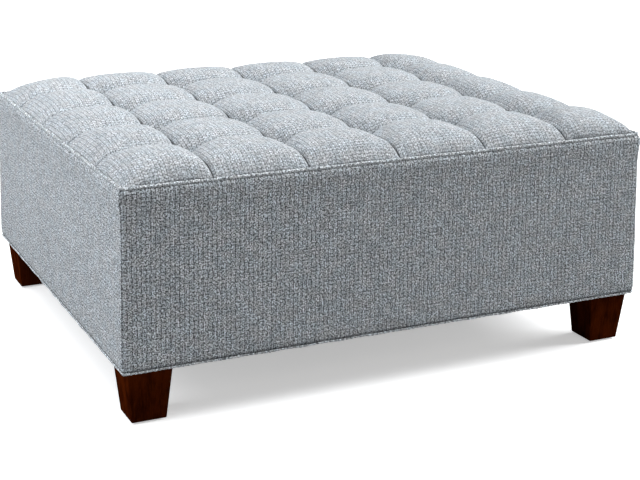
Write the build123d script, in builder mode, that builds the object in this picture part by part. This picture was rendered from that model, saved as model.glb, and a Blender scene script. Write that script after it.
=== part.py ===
from build123d import *
import os

# Upholstered block ottoman: a biscuit tufted top on a padded plywood box with four tapered legs.
# Millimetres. Origin on the floor under the middle, X along the long front, Y to the back, Z up.

os.makedirs("parts", exist_ok=True)

# Block, over the fabric
block_length = 1067.0
block_depth = 889.0
seam_height = 430.0  # floor to the middle of the welt round the top
roll_proud = 2.0  # the walls roll out this far below the top welt
roll_drop = 9.0  # from the welt down to the widest line of the roll
roll_height = 60.0  # from the welt down to where the roll runs out into the flat wall
roll_turn = 3.5  # how far the roll turns in again up to the welt
tuck = 2.5  # the walls draw in this far above the bottom welt
tuck_height = 14.0
wall_skin = 4.0  # cover fabric with its backing, on the flat wall
padding_thickness = 6.0
soft_gap = 0.3

# Tufted top
tufts_across = 6
tufts_deep = 5
end_tuft = 169.0  # wall to the first seam, a little less than the pitch between seams
crown_rise = 42.0  # middle of a biscuit above the welt
seam_rise = 27.0  # middle of a seam between two crossings above the welt
pull_rise = 8.0  # a crossing of two seams above the welt
slab_depth = 14.0  # from the welt down to the flat underside of the filling
# Sections across a biscuit: place between its two edges, and share of its full height there
biscuit_shares = ((0, 0), (0.18, 0.68), (0.5, 1), (0.82, 0.68), (1, 0))

# Welts
top_welt_radius = 2.8
top_welt_inset = 3.0  # wall face to the cord's centre line
bottom_welt_radius = 2.75
bottom_welt_inset = 3.0
flange_width = 20.0  # stapled tape of the bottom welt
flange_thickness = 1.2

# Frame
foam_thickness = 75.0
deck_thickness = 15.0
panel_thickness = 18.0
frame_corner_radius = 2.0
post_side = 45.0
stretcher_width = 38.0
stretcher_height = 64.0
bottom_stretcher_side = 38.0
plate_side = 130.0
plate_clip = 55.0  # cut off the plate's inner corner
plate_thickness = 25.0
cover_thickness = 0.8
cover_inset = 8.0

# Legs and what is under them
leg_height = 99.0
leg_top_side = 84.0
leg_foot_side = 64.5
leg_inset = 5.0  # wall face to the leg's outer face at its top
leg_edge_radius = 2.0
leg_foot_chamfer = 1.5
glide_height = 3.0
glide_radius = 11.0
glide_edge_radius = 1.0
nail_radius = 1.3
nail_length = 18.0

# Leg fastening
bolt_radius = 4.0
bolt_in_leg = 42.0
bolt_point_length = 6.0
bolt_point_radius = 1.0
bolt_past_nut = 6.0
nut_barrel_radius = 5.0
nut_barrel_length = 11.0
nut_flange_radius = 10.0
nut_flange_thickness = 1.6
post_bore_radius = 12.0
post_bore_depth = 14.0

# Tuft twines
twine_radius = 1.0
foam_hole_radius = 5.0
deck_hole_radius = 4.0
washer_radius = 12.0
washer_thickness = 2.0
knot_radius = 3.0
knot_height = 4.0

# Wood screws
screw_radius = 2.0
screw_length = 45.0
screw_head_radius = 4.2
screw_head_height = 3.0
fit_clearance = 0.1  # between a fastener or twine and its hole
deck_screw_shares = (-0.66, -0.24, 0.24, 0.66)  # along the front and back panels
side_screw_shares = (-0.4, 0.4)  # along the side panels
stretcher_screw_shares = (-0.66, 0.0, 0.66)  # along each stretcher under the deck
long_wall_screw_shares = (0.25, 0.62)  # up the front and back panels, into the posts
short_wall_screw_shares = (0.36, 0.74)  # up the side panels, clear of the others
plate_screw_share = 0.22  # from a post's outer faces, of its side

# Levels, from the floor up
leg_top = glide_height + leg_height
cover_top = leg_top + cover_thickness
frame_bottom = cover_top + flange_thickness
plate_top = cover_top + plate_thickness
wall_bottom = leg_top + 2 * bottom_welt_radius + soft_gap
shoulder = seam_height - top_welt_radius - soft_gap
slab_bottom = seam_height - slab_depth
deck_top = slab_bottom - foam_thickness
deck_bottom = deck_top - deck_thickness
washer_bottom = deck_bottom - washer_thickness
panel_height = deck_bottom - frame_bottom

# Faces, from the walls in
wall_x = block_length / 2 - roll_proud
wall_y = block_depth / 2 - roll_proud
lining_inset = wall_skin + soft_gap
frame_inset = lining_inset + padding_thickness
rim_inset = top_welt_inset + top_welt_radius + soft_gap
corner_radius = frame_corner_radius + frame_inset
frame_x = wall_x - frame_inset
frame_y = wall_y - frame_inset
inner_x = frame_x - panel_thickness
inner_y = frame_y - panel_thickness
post_x = inner_x - post_side / 2
post_y = inner_y - post_side / 2
leg_x = wall_x - leg_inset - leg_top_side / 2
leg_y = wall_y - leg_inset - leg_top_side / 2

# Seams of the tufts: one pitch each way between the two end tufts
pitch_x = 2 * (wall_x - end_tuft) / (tufts_across - 2)
pitch_y = 2 * (wall_y - end_tuft) / (tufts_deep - 2)
seams_x = [end_tuft - wall_x + i * pitch_x for i in range(tufts_across - 1)]
seams_y = [end_tuft - wall_y + i * pitch_y for i in range(tufts_deep - 1)]
crossings = [(x, y) for x in seams_x for y in seams_y]
stretcher_x = pitch_x / 2

corners = {"front_left": (-1, -1), "front_right": (1, -1), "back_left": (-1, 1), "back_right": (1, 1)}
leg_places = [(sx * leg_x, sy * leg_y) for sx, sy in corners.values()]
# Each wall is drawn as the front one and turned about Z: angle, half its run, its distance out
walls = {
    "front": (0, wall_x, wall_y),
    "right": (90, wall_y, wall_x),
    "back": (180, wall_x, wall_y),
    "left": (270, wall_y, wall_x),
}
hanging = (Align.CENTER, Align.CENTER, Align.MAX)
standing = (Align.CENTER, Align.CENTER, Align.MIN)


def levelled(points, level):
    """The same points, all at one height."""
    return [(x, y, level) for x, y in points]


def block_outline(inset, radius):
    """A rounded rectangle that far inside the walls."""
    RectangleRounded(2 * (wall_x - inset), 2 * (wall_y - inset), radius)


def wall_frame(angle):
    """The floor plane turned so that a wall drawn at the front stands at that angle."""
    return Plane.XY.rotated((0, 0, angle))


def wall_path(half_run, reach):
    """A wall's line from mitre to mitre: half of one corner, the straight run, half of the next."""
    straight = half_run - corner_radius
    centre = corner_radius - reach
    CenterArc((-straight, centre), corner_radius, 225, 45)
    Line((-straight, -reach), (straight, -reach))
    CenterArc((straight, centre), corner_radius, 270, 45)


def section_plane(path):
    """The plane across a path at its start, x out of the wall and y up."""
    along = path.line % 0
    return Plane(path.line @ 0, x_dir=along.cross(Vector(0, 0, 1)), z_dir=-along)


def cord_round(inset, level, radius):
    """Sweeps a round cord along the block's outline, its centre line that far inside the walls."""
    with BuildSketch(Plane.XY.offset(level)) as outline:
        block_outline(inset, corner_radius - inset)
    line = outline.sketch.face().outer_wire()
    with BuildSketch(Plane(line @ 0, z_dir=line % 0)) as section:
        Circle(radius)
    sweep(section.sketch, path=line)


# Screws: down through the deck, in from the walls, and up through the leg plates
def deck_screw_places():
    """Screws along the middle of what carries the deck."""
    long_y = frame_y - panel_thickness / 2
    side_x = frame_x - panel_thickness / 2
    points = [(sx * post_x, sy * post_y) for sx, sy in corners.values()]
    points += [(share * frame_x, sy * long_y) for share in deck_screw_shares for sy in (-1, 1)]
    points += [(sx * side_x, share * frame_y) for share in side_screw_shares for sx in (-1, 1)]
    points += [(sx * stretcher_x, share * frame_y) for share in stretcher_screw_shares for sx in (-1, 1)]
    return [Plane(point).location for point in levelled(points, deck_top)]


def wall_screw_places(name):
    """Screws through a wall's panel into the posts, and at the front and back into the stretchers."""
    angle, half_run, reach = walls[name]
    is_long = name in ("front", "back")
    post_place = post_x if is_long else post_y
    height_shares = long_wall_screw_shares if is_long else short_wall_screw_shares
    levels = [frame_bottom + share * panel_height for share in height_shares]
    points = [(side * post_place, level) for side in (-1, 1) for level in levels]
    if is_long:
        points += [(side * stretcher_x, deck_bottom - stretcher_height / 2) for side in (-1, 1)]
        points.append((0, cover_top + bottom_stretcher_side / 2))
    wall = wall_frame(angle)
    heads = [wall.from_local_coords(Vector(along, frame_inset - reach, level)) for along, level in points]
    return [Plane(head, z_dir=-wall.y_dir).location for head in heads]


def plate_screw_places():
    """Two screws up through each leg plate into its post, either side of the bolt."""
    near = plate_screw_share * post_side
    far = post_side - near
    points = [
        (sx * (inner_x - in_x), sy * (inner_y - in_y))
        for sx, sy in corners.values()
        for in_x, in_y in ((near, far), (far, near))
    ]
    return [Plane(point, z_dir=(0, 0, -1)).location for point in levelled(points, cover_top)]


def screws(places, clearance=0.0, mode=Mode.ADD):
    """Countersunk wood screws with their heads flush at these places, or the holes for them."""
    with Locations(*places):
        Cone(
            screw_radius + clearance,
            screw_head_radius + clearance,
            screw_head_height,
            align=hanging,
            mode=mode,
        )
        Cylinder(screw_radius + clearance, screw_length + clearance, align=hanging, mode=mode)


deck_screw_spots = deck_screw_places()
panel_screw_spots = [spot for name in walls for spot in wall_screw_places(name)]
plate_screw_spots = plate_screw_places()


def screw_holes():
    """Cuts the frame's screw holes out of the piece being made."""
    screws(deck_screw_spots + panel_screw_spots + plate_screw_spots, fit_clearance, Mode.SUBTRACT)


# Biscuits of the top: each is lofted along X through five arched sections
def cells(limit, seams):
    """Start, end, and whether each of them is the outer rim, for the biscuits along one side."""
    lines = [-limit] + seams + [limit]
    last = len(lines) - 2
    return [(lines[i], lines[i + 1], i == 0, i == last) for i in range(last + 1)]


def edge_heights(on_rim, start_on_rim, end_on_rim):
    """Heights of a biscuit's edge at its start, middle and end: level on the rim, arched on a seam."""
    start = seam_height + (0 if on_rim or start_on_rim else pull_rise)
    middle = seam_height + (0 if on_rim else seam_rise)
    end = seam_height + (0 if on_rim or end_on_rim else pull_rise)
    return start, middle, end


def biscuit_section(x, y_start, y_end, z_start, z_middle, z_end):
    """One section of a biscuit in the plane at x, flat below and arched above."""
    y_middle = (y_start + y_end) / 2
    with BuildSketch(Plane.YZ.offset(x)) as section:
        with BuildLine():
            Polyline((y_start, z_start), (y_start, shoulder), (y_end, shoulder), (y_end, z_end))
            if z_start == z_middle == z_end:
                Line((y_start, z_start), (y_end, z_end))
            else:
                ThreePointArc((y_start, z_start), (y_middle, z_middle), (y_end, z_end))
        make_face()
    return section.sketch


def biscuit(column, row):
    """Lofts one biscuit. Its seams lie low where they cross and rise between the crossings."""
    x_start, x_end, starts_on_rim, ends_on_rim = column
    y_start, y_end, front_rim, back_rim = row
    first = edge_heights(starts_on_rim, front_rim, back_rim)
    last = edge_heights(ends_on_rim, front_rim, back_rim)
    front_seam = seam_height + (0 if front_rim else seam_rise)
    back_seam = seam_height + (0 if back_rim else seam_rise)
    middle = (front_seam, seam_height + crown_rise, back_seam)
    sections = []
    for place_share, height_share in biscuit_shares:
        edge = first if place_share < 0.5 else last
        heights = [low + height_share * (full - low) for low, full in zip(edge, middle)]
        sections.append(biscuit_section(x_start + place_share * (x_end - x_start), y_start, y_end, *heights))
    return loft(sections, mode=Mode.PRIVATE)


with BuildPart() as tufted_top:
    columns = cells(wall_x - rim_inset, seams_x)
    rows = cells(wall_y - rim_inset, seams_y)
    add([biscuit(column, row) for column in columns for row in rows])
    with BuildSketch(Plane.XY.offset(shoulder)):
        block_outline(rim_inset, corner_radius - rim_inset)
    extrude(amount=2 * crown_rise, mode=Mode.INTERSECT)
    with BuildSketch(Plane.XY.offset(slab_bottom)):
        block_outline(lining_inset, corner_radius - lining_inset)
    extrude(amount=shoulder - slab_bottom)
tufted_top.part.label = "tufted_top"
export_step(tufted_top.part, "parts/tufted_top.step")

with BuildPart() as top_welt:
    cord_round(top_welt_inset, seam_height, top_welt_radius)
top_welt.part.label = "top_welt"
export_step(top_welt.part, "parts/top_welt.step")

# Fabric walls, mitred where they are sewn at the corners: rolled out at the top, drawn in at the foot
for name, (angle, half_run, reach) in walls.items():
    with BuildPart() as boxing:
        with BuildLine(wall_frame(angle)) as sewn_edge:
            wall_path(half_run, reach)
        with BuildSketch(section_plane(sewn_edge)):
            with BuildLine():
                drawn_in = TangentArc((0, wall_bottom + tuck_height), (-tuck, wall_bottom), tangent=(0, -1))
                roll_foot = seam_height - roll_height
                roll_crest = seam_height - roll_drop
                Line(drawn_in @ 0, (0, roll_foot))
                roll_middle = (roll_proud / 2, (roll_foot + roll_crest) / 2)
                lower = TangentArc((0, roll_foot), roll_middle, tangent=(0, 1))
                upper = TangentArc(roll_middle, (roll_proud, roll_crest), tangent=lower % 1)
                turn = TangentArc(upper @ 1, (roll_proud - roll_turn, shoulder), tangent=upper % 1)
                Polyline(turn @ 1, (-wall_skin, shoulder), (-wall_skin, wall_bottom), drawn_in @ 1)
            make_face()
        sweep(path=sewn_edge.line)
    boxing.part.label = f"{name}_boxing"
    export_step(boxing.part, f"parts/{name}_boxing.step")

# Padding sheets between the fabric and the frame, from the bottom welt up to the top of the foam
for name, (angle, half_run, reach) in walls.items():
    with BuildPart() as padding:
        with BuildLine(wall_frame(angle)) as glued_edge:
            wall_path(half_run, reach)
        with BuildSketch(section_plane(glued_edge)):
            with Locations((-lining_inset, wall_bottom)):
                Rectangle(padding_thickness, slab_bottom - wall_bottom, align=(Align.MAX, Align.MIN))
        sweep(path=glued_edge.line)
    padding.part.label = f"{name}_padding"
    export_step(padding.part, f"parts/{name}_padding.step")

# Foam slab and deck, with a hole under each crossing of the seams
with BuildPart() as foam_pad:
    with BuildSketch(Plane.XY.offset(deck_top)):
        block_outline(frame_inset, frame_corner_radius)
        with Locations(*crossings):
            Circle(foam_hole_radius, mode=Mode.SUBTRACT)
    extrude(amount=foam_thickness)
foam_pad.part.label = "foam_pad"
export_step(foam_pad.part, "parts/foam_pad.step")

with BuildPart() as deck_board:
    with BuildSketch(Plane.XY.offset(deck_bottom)):
        block_outline(frame_inset, frame_corner_radius)
        with Locations(*crossings):
            Circle(deck_hole_radius, mode=Mode.SUBTRACT)
    extrude(amount=deck_thickness)
    screw_holes()
deck_board.part.label = "deck_board"
export_step(deck_board.part, "parts/deck_board.step")

# Twines from the crossings down through the foam and the deck, each knotted under a washer
with BuildPart() as tuft_twines:
    with Locations(*levelled(crossings, slab_bottom)):
        Cylinder(twine_radius, slab_bottom - washer_bottom, align=hanging)
    with Locations(*levelled(crossings, washer_bottom)):
        Cylinder(knot_radius, knot_height, align=hanging)
tuft_twines.part.label = "tuft_twines"
export_step(tuft_twines.part, "parts/tuft_twines.step")

with BuildPart() as twine_washers:
    with BuildSketch(Plane.XY.offset(washer_bottom)):
        with Locations(*crossings):
            Circle(washer_radius)
            Circle(twine_radius + fit_clearance, mode=Mode.SUBTRACT)
    extrude(amount=washer_thickness)
twine_washers.part.label = "twine_washers"
export_step(twine_washers.part, "parts/twine_washers.step")

# Box frame: the front and back panels run through, the side panels stand between them
for name, (angle, half_run, reach) in walls.items():
    runs_through = name in ("front", "back")
    with BuildPart() as panel:
        with BuildSketch(wall_frame(angle).offset(frame_bottom)) as plan:
            with Locations((0, frame_inset - reach)):
                half_length = frame_x if runs_through else inner_y
                Rectangle(2 * half_length, panel_thickness, align=(Align.CENTER, Align.MIN))
            if runs_through:
                fillet(plan.vertices().group_by(Axis.Y)[0], frame_corner_radius)
        extrude(amount=panel_height)
        screw_holes()
    panel.part.label = f"{name}_panel"
    export_step(panel.part, f"parts/{name}_panel.step")

for name, (sx, sy) in corners.items():
    with BuildPart() as post:
        with BuildSketch(Plane((sx * post_x, sy * post_y, plate_top))):
            Rectangle(post_side, post_side)
        extrude(amount=deck_bottom - plate_top)
        with Locations((sx * leg_x, sy * leg_y, plate_top)):
            Cylinder(post_bore_radius, post_bore_depth, align=standing, mode=Mode.SUBTRACT)
        screw_holes()
    post.part.label = f"post_{name}"
    export_step(post.part, f"parts/post_{name}.step")

for name, side in (("left", -1), ("right", 1)):
    with BuildPart() as stretcher:
        with BuildSketch(Plane((side * stretcher_x, 0, deck_bottom - stretcher_height))):
            Rectangle(stretcher_width, 2 * inner_y)
        extrude(amount=stretcher_height)
        screw_holes()
    stretcher.part.label = f"{name}_stretcher"
    export_step(stretcher.part, f"parts/{name}_stretcher.step")

with BuildPart() as bottom_stretcher:
    with BuildSketch(Plane.XY.offset(cover_top)):
        Rectangle(bottom_stretcher_side, 2 * inner_y)
    extrude(amount=bottom_stretcher_side)
    screw_holes()
bottom_stretcher.part.label = "bottom_stretcher"
export_step(bottom_stretcher.part, "parts/bottom_stretcher.step")

# Leg plates: corner plates with the inner corner cut off, bored for a tee nut
for name, (sx, sy) in corners.items():
    with BuildPart() as leg_plate:
        with BuildSketch(Plane.XY.offset(cover_top)):
            with BuildLine():
                Polyline(
                    (sx * inner_x, sy * inner_y),
                    (sx * (inner_x - plate_side), sy * inner_y),
                    (sx * (inner_x - plate_side), sy * (inner_y - plate_side + plate_clip)),
                    (sx * (inner_x - plate_side + plate_clip), sy * (inner_y - plate_side)),
                    (sx * inner_x, sy * (inner_y - plate_side)),
                    close=True,
                )
            make_face()
            with Locations((sx * leg_x, sy * leg_y)):
                Circle(nut_barrel_radius + fit_clearance, mode=Mode.SUBTRACT)
        extrude(amount=plate_thickness)
        screw_holes()
    leg_plate.part.label = f"leg_plate_{name}"
    export_step(leg_plate.part, f"parts/leg_plate_{name}.step")

with BuildPart() as t_nuts:
    with Locations(*levelled(leg_places, plate_top)):
        Cylinder(nut_flange_radius, nut_flange_thickness, align=standing)
        Cylinder(nut_barrel_radius, nut_barrel_length, align=hanging)
    with Locations(*levelled(leg_places, plate_top + nut_flange_thickness)):
        nut_height = nut_barrel_length + nut_flange_thickness
        Cylinder(bolt_radius + fit_clearance, nut_height, align=hanging, mode=Mode.SUBTRACT)
t_nuts.part.label = "t_nuts"
export_step(t_nuts.part, "parts/t_nuts.step")

# Hanger bolts: the pointed end in the leg, the other end up through the tee nut
with BuildPart() as hanger_bolts:
    with Locations(*levelled(leg_places, leg_top - bolt_in_leg)):
        Cone(bolt_point_radius, bolt_radius, bolt_point_length, align=standing)
    with Locations(*levelled(leg_places, plate_top + nut_flange_thickness + bolt_past_nut)):
        stud_top = plate_top + nut_flange_thickness + bolt_past_nut
        stud_foot = leg_top - bolt_in_leg + bolt_point_length
        Cylinder(bolt_radius, stud_top - stud_foot, align=hanging)
hanger_bolts.part.label = "hanger_bolts"
export_step(hanger_bolts.part, "parts/hanger_bolts.step")

with BuildPart() as deck_screws:
    screws(deck_screw_spots)
deck_screws.part.label = "deck_screws"
export_step(deck_screws.part, "parts/deck_screws.step")

with BuildPart() as panel_screws:
    screws(panel_screw_spots)
panel_screws.part.label = "panel_screws"
export_step(panel_screws.part, "parts/panel_screws.step")

with BuildPart() as plate_screws:
    screws(plate_screw_spots)
plate_screws.part.label = "plate_screws"
export_step(plate_screws.part, "parts/plate_screws.step")

# Bottom welt: a covered cord with the flange that is stapled under the frame
with BuildPart() as bottom_welt:
    cord_round(bottom_welt_inset, leg_top + bottom_welt_radius, bottom_welt_radius)
    with BuildSketch(Plane.XY.offset(cover_top)):
        block_outline(bottom_welt_inset, corner_radius - bottom_welt_inset)
        flange_inset = bottom_welt_inset + flange_width
        Rectangle(2 * (wall_x - flange_inset), 2 * (wall_y - flange_inset), mode=Mode.SUBTRACT)
    extrude(amount=flange_thickness)
bottom_welt.part.label = "bottom_welt"
export_step(bottom_welt.part, "parts/bottom_welt.step")

with BuildPart() as dust_cover:
    with BuildSketch(Plane.XY.offset(leg_top)):
        block_outline(cover_inset, corner_radius - cover_inset)
        with Locations(*leg_places):
            Circle(bolt_radius + fit_clearance, mode=Mode.SUBTRACT)
    extrude(amount=cover_thickness)
dust_cover.part.label = "dust_cover"
export_step(dust_cover.part, "parts/dust_cover.step")

# Tapered legs, each bored for its hanger bolt above and for the glide's nail below
for name, (sx, sy) in corners.items():
    foot_plane = Plane((sx * leg_x, sy * leg_y, glide_height))
    with BuildPart() as leg:
        with BuildSketch(foot_plane):
            RectangleRounded(leg_foot_side, leg_foot_side, leg_edge_radius)
        with BuildSketch(foot_plane.offset(leg_height)):
            RectangleRounded(leg_top_side, leg_top_side, leg_edge_radius)
        loft(ruled=True)
        chamfer(leg.faces().sort_by(Axis.Z)[0].edges(), leg_foot_chamfer)
        with Locations((sx * leg_x, sy * leg_y, leg_top)):
            bolt_hole_depth = bolt_in_leg + fit_clearance
            Cylinder(bolt_radius + fit_clearance, bolt_hole_depth, align=hanging, mode=Mode.SUBTRACT)
        with Locations(foot_plane):
            nail_hole_depth = nail_length + fit_clearance
            Cylinder(nail_radius + fit_clearance, nail_hole_depth, align=standing, mode=Mode.SUBTRACT)
    leg.part.label = f"leg_{name}"
    export_step(leg.part, f"parts/leg_{name}.step")

with BuildPart() as glides:
    with Locations(*levelled(leg_places, 0)):
        Cylinder(glide_radius, glide_height, align=standing)
        Cylinder(nail_radius, glide_height + nail_length, align=standing)
    fillet(glides.edges().group_by(Axis.Z)[0], glide_edge_radius)
glides.part.label = "glides"
export_step(glides.part, "parts/glides.step")
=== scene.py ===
import math

import bpy
import numpy as np
from mathutils import Matrix, Vector


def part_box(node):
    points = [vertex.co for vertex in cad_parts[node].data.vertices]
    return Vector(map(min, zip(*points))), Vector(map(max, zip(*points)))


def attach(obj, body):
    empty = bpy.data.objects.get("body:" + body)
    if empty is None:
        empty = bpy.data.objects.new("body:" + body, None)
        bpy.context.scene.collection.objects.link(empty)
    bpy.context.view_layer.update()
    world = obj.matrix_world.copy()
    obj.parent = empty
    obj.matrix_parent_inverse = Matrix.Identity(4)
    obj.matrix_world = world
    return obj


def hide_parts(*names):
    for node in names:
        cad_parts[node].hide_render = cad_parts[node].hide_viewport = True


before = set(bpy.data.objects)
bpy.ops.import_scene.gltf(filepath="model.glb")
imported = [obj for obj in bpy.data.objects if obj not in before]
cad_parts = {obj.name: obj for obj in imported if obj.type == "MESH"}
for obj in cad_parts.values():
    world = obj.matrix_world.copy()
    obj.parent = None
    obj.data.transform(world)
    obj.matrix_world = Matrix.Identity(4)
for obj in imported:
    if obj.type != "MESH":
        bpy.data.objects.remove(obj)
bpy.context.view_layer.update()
random = np.random.default_rng(11)

# Sizes in metres, in the CAD model's frame
wall_x, wall_y = 0.5315, 0.4425  # middle of the block to its flat walls
seam_z = 0.430  # seam of the top welt
shoulder_z, wall_foot_z = 0.4285, 0.1064  # top and foot of the fabric walls
slab_z = 0.416  # underside of the filled top
leg_top_z = 0.102
leg_x, leg_y = 0.4845, 0.3955  # middle of the block to the middles of its legs
corner_radius = 0.0065
flare = 0.007  # how far the walls spread at their foot
end_tuft = 0.169  # walls to the first seams
tufts_across, tufts_deep = 6, 5
pitch_x = 2 * (wall_x - end_tuft) / (tufts_across - 2)
pitch_y = 2 * (wall_y - end_tuft) / (tufts_deep - 2)
seams_x = [end_tuft - wall_x + i * pitch_x for i in range(tufts_across - 1)]
seams_y = [end_tuft - wall_y + i * pitch_y for i in range(tufts_deep - 1)]


# Shader nodes
class Shader:
    """A material's node tree, with short calls for its nodes."""

    def __init__(self, name):
        self.material = bpy.data.materials.new(name)
        self.material.use_nodes = True
        self.tree = self.material.node_tree
        self.tree.nodes.clear()
        self.surface = self.tree.nodes.new("ShaderNodeBsdfPrincipled")
        output = self.tree.nodes.new("ShaderNodeOutputMaterial")
        self.tree.links.new(self.surface.outputs[0], output.inputs[0])

    def put(self, socket, value):
        if isinstance(value, bpy.types.NodeSocket):
            self.tree.links.new(value, socket)
        elif isinstance(value, tuple) and len(value) == 3 and len(socket.default_value) == 4:
            socket.default_value = (*value, 1.0)
        else:
            socket.default_value = value

    def node(self, kind, inputs=(), **settings):
        made = self.tree.nodes.new(kind)
        for name, value in settings.items():
            setattr(made, name, value)
        for name, value in dict(inputs).items():
            self.put(made.inputs[name], value)
        return made

    def set(self, **values):
        for name, value in values.items():
            self.put(self.surface.inputs[name.replace("_", " ")], value)

    def math(self, operation, a, b=0.0):
        return self.node("ShaderNodeMath", {0: a, 1: b}, operation=operation).outputs[0]

    def vector(self, operation, a, b=(0.0, 0.0, 0.0)):
        return self.node("ShaderNodeVectorMath", {0: a, 1: b}, operation=operation).outputs[0]

    def mix(self, share, a, b):
        return self.node("ShaderNodeMix", {0: share, 6: a, 7: b}, data_type="RGBA").outputs[2]

    def span(self, value, low, high, to_low=0.0, to_high=1.0):
        """The value from low to high, eased to run from to_low to to_high."""
        inputs = {0: value, 1: low, 2: high, 3: to_low, 4: to_high}
        return self.node("ShaderNodeMapRange", inputs, interpolation_type="SMOOTHSTEP").outputs[0]

    def place(self, scale=(1, 1, 1)):
        """The point in the frame, in metres, stretched."""
        return self.vector("MULTIPLY", self.node("ShaderNodeTexCoord").outputs["Object"], scale)

    def noise(self, vector, scale, detail=2.0, roughness=0.5):
        inputs = {"Vector": vector, "Scale": scale, "Detail": detail, "Roughness": roughness}
        return self.node("ShaderNodeTexNoise", inputs).outputs["Fac"]

    def bump(self, height, distance, strength):
        inputs = {"Height": height, "Distance": distance, "Strength": strength}
        return self.node("ShaderNodeBump", inputs).outputs[0]


def tinted(colour, factors):
    """A colour multiplied by one factor, or by one for each channel."""
    return tuple(np.multiply(colour, factors).tolist())


# Cover fabric: ribs of two columns of loops, each column part of a loop out of step with the next
column_pitch, loop_pitch = 0.00425, 0.0074
column_lag, column_slip = 0.26, 0.10  # in loops: for every second column, and at random for each
loop_stray = (0.0020, 0.0040, 0.0)  # how far the loops stray across and along their rib
loop_lean, loop_narrowness, loop_shortness = 0.5, 1.6, 2.1
smallest_loop, largest_loop, turned_loop = 0.82, 1.04, 0.16
fuzz_scale, strand_scale, strand_share = 400.0, 1900.0, 0.30
pit_span, crest_span = 0.60, 0.62  # heights below and above the middle that are darkest and lightest
# Painted shade in the pits and in the seams, painted light on the crests, and how much each loop's tone differs
# at random
pit_painted_shade, crest_painted_light, loop_shade, seam_painted_shade = 0.92, 0.86, 0.20, 0.2
cool_tint, warm_tint = (0.975, 1.0, 1.015), (1.025, 1.0, 0.985)


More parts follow.
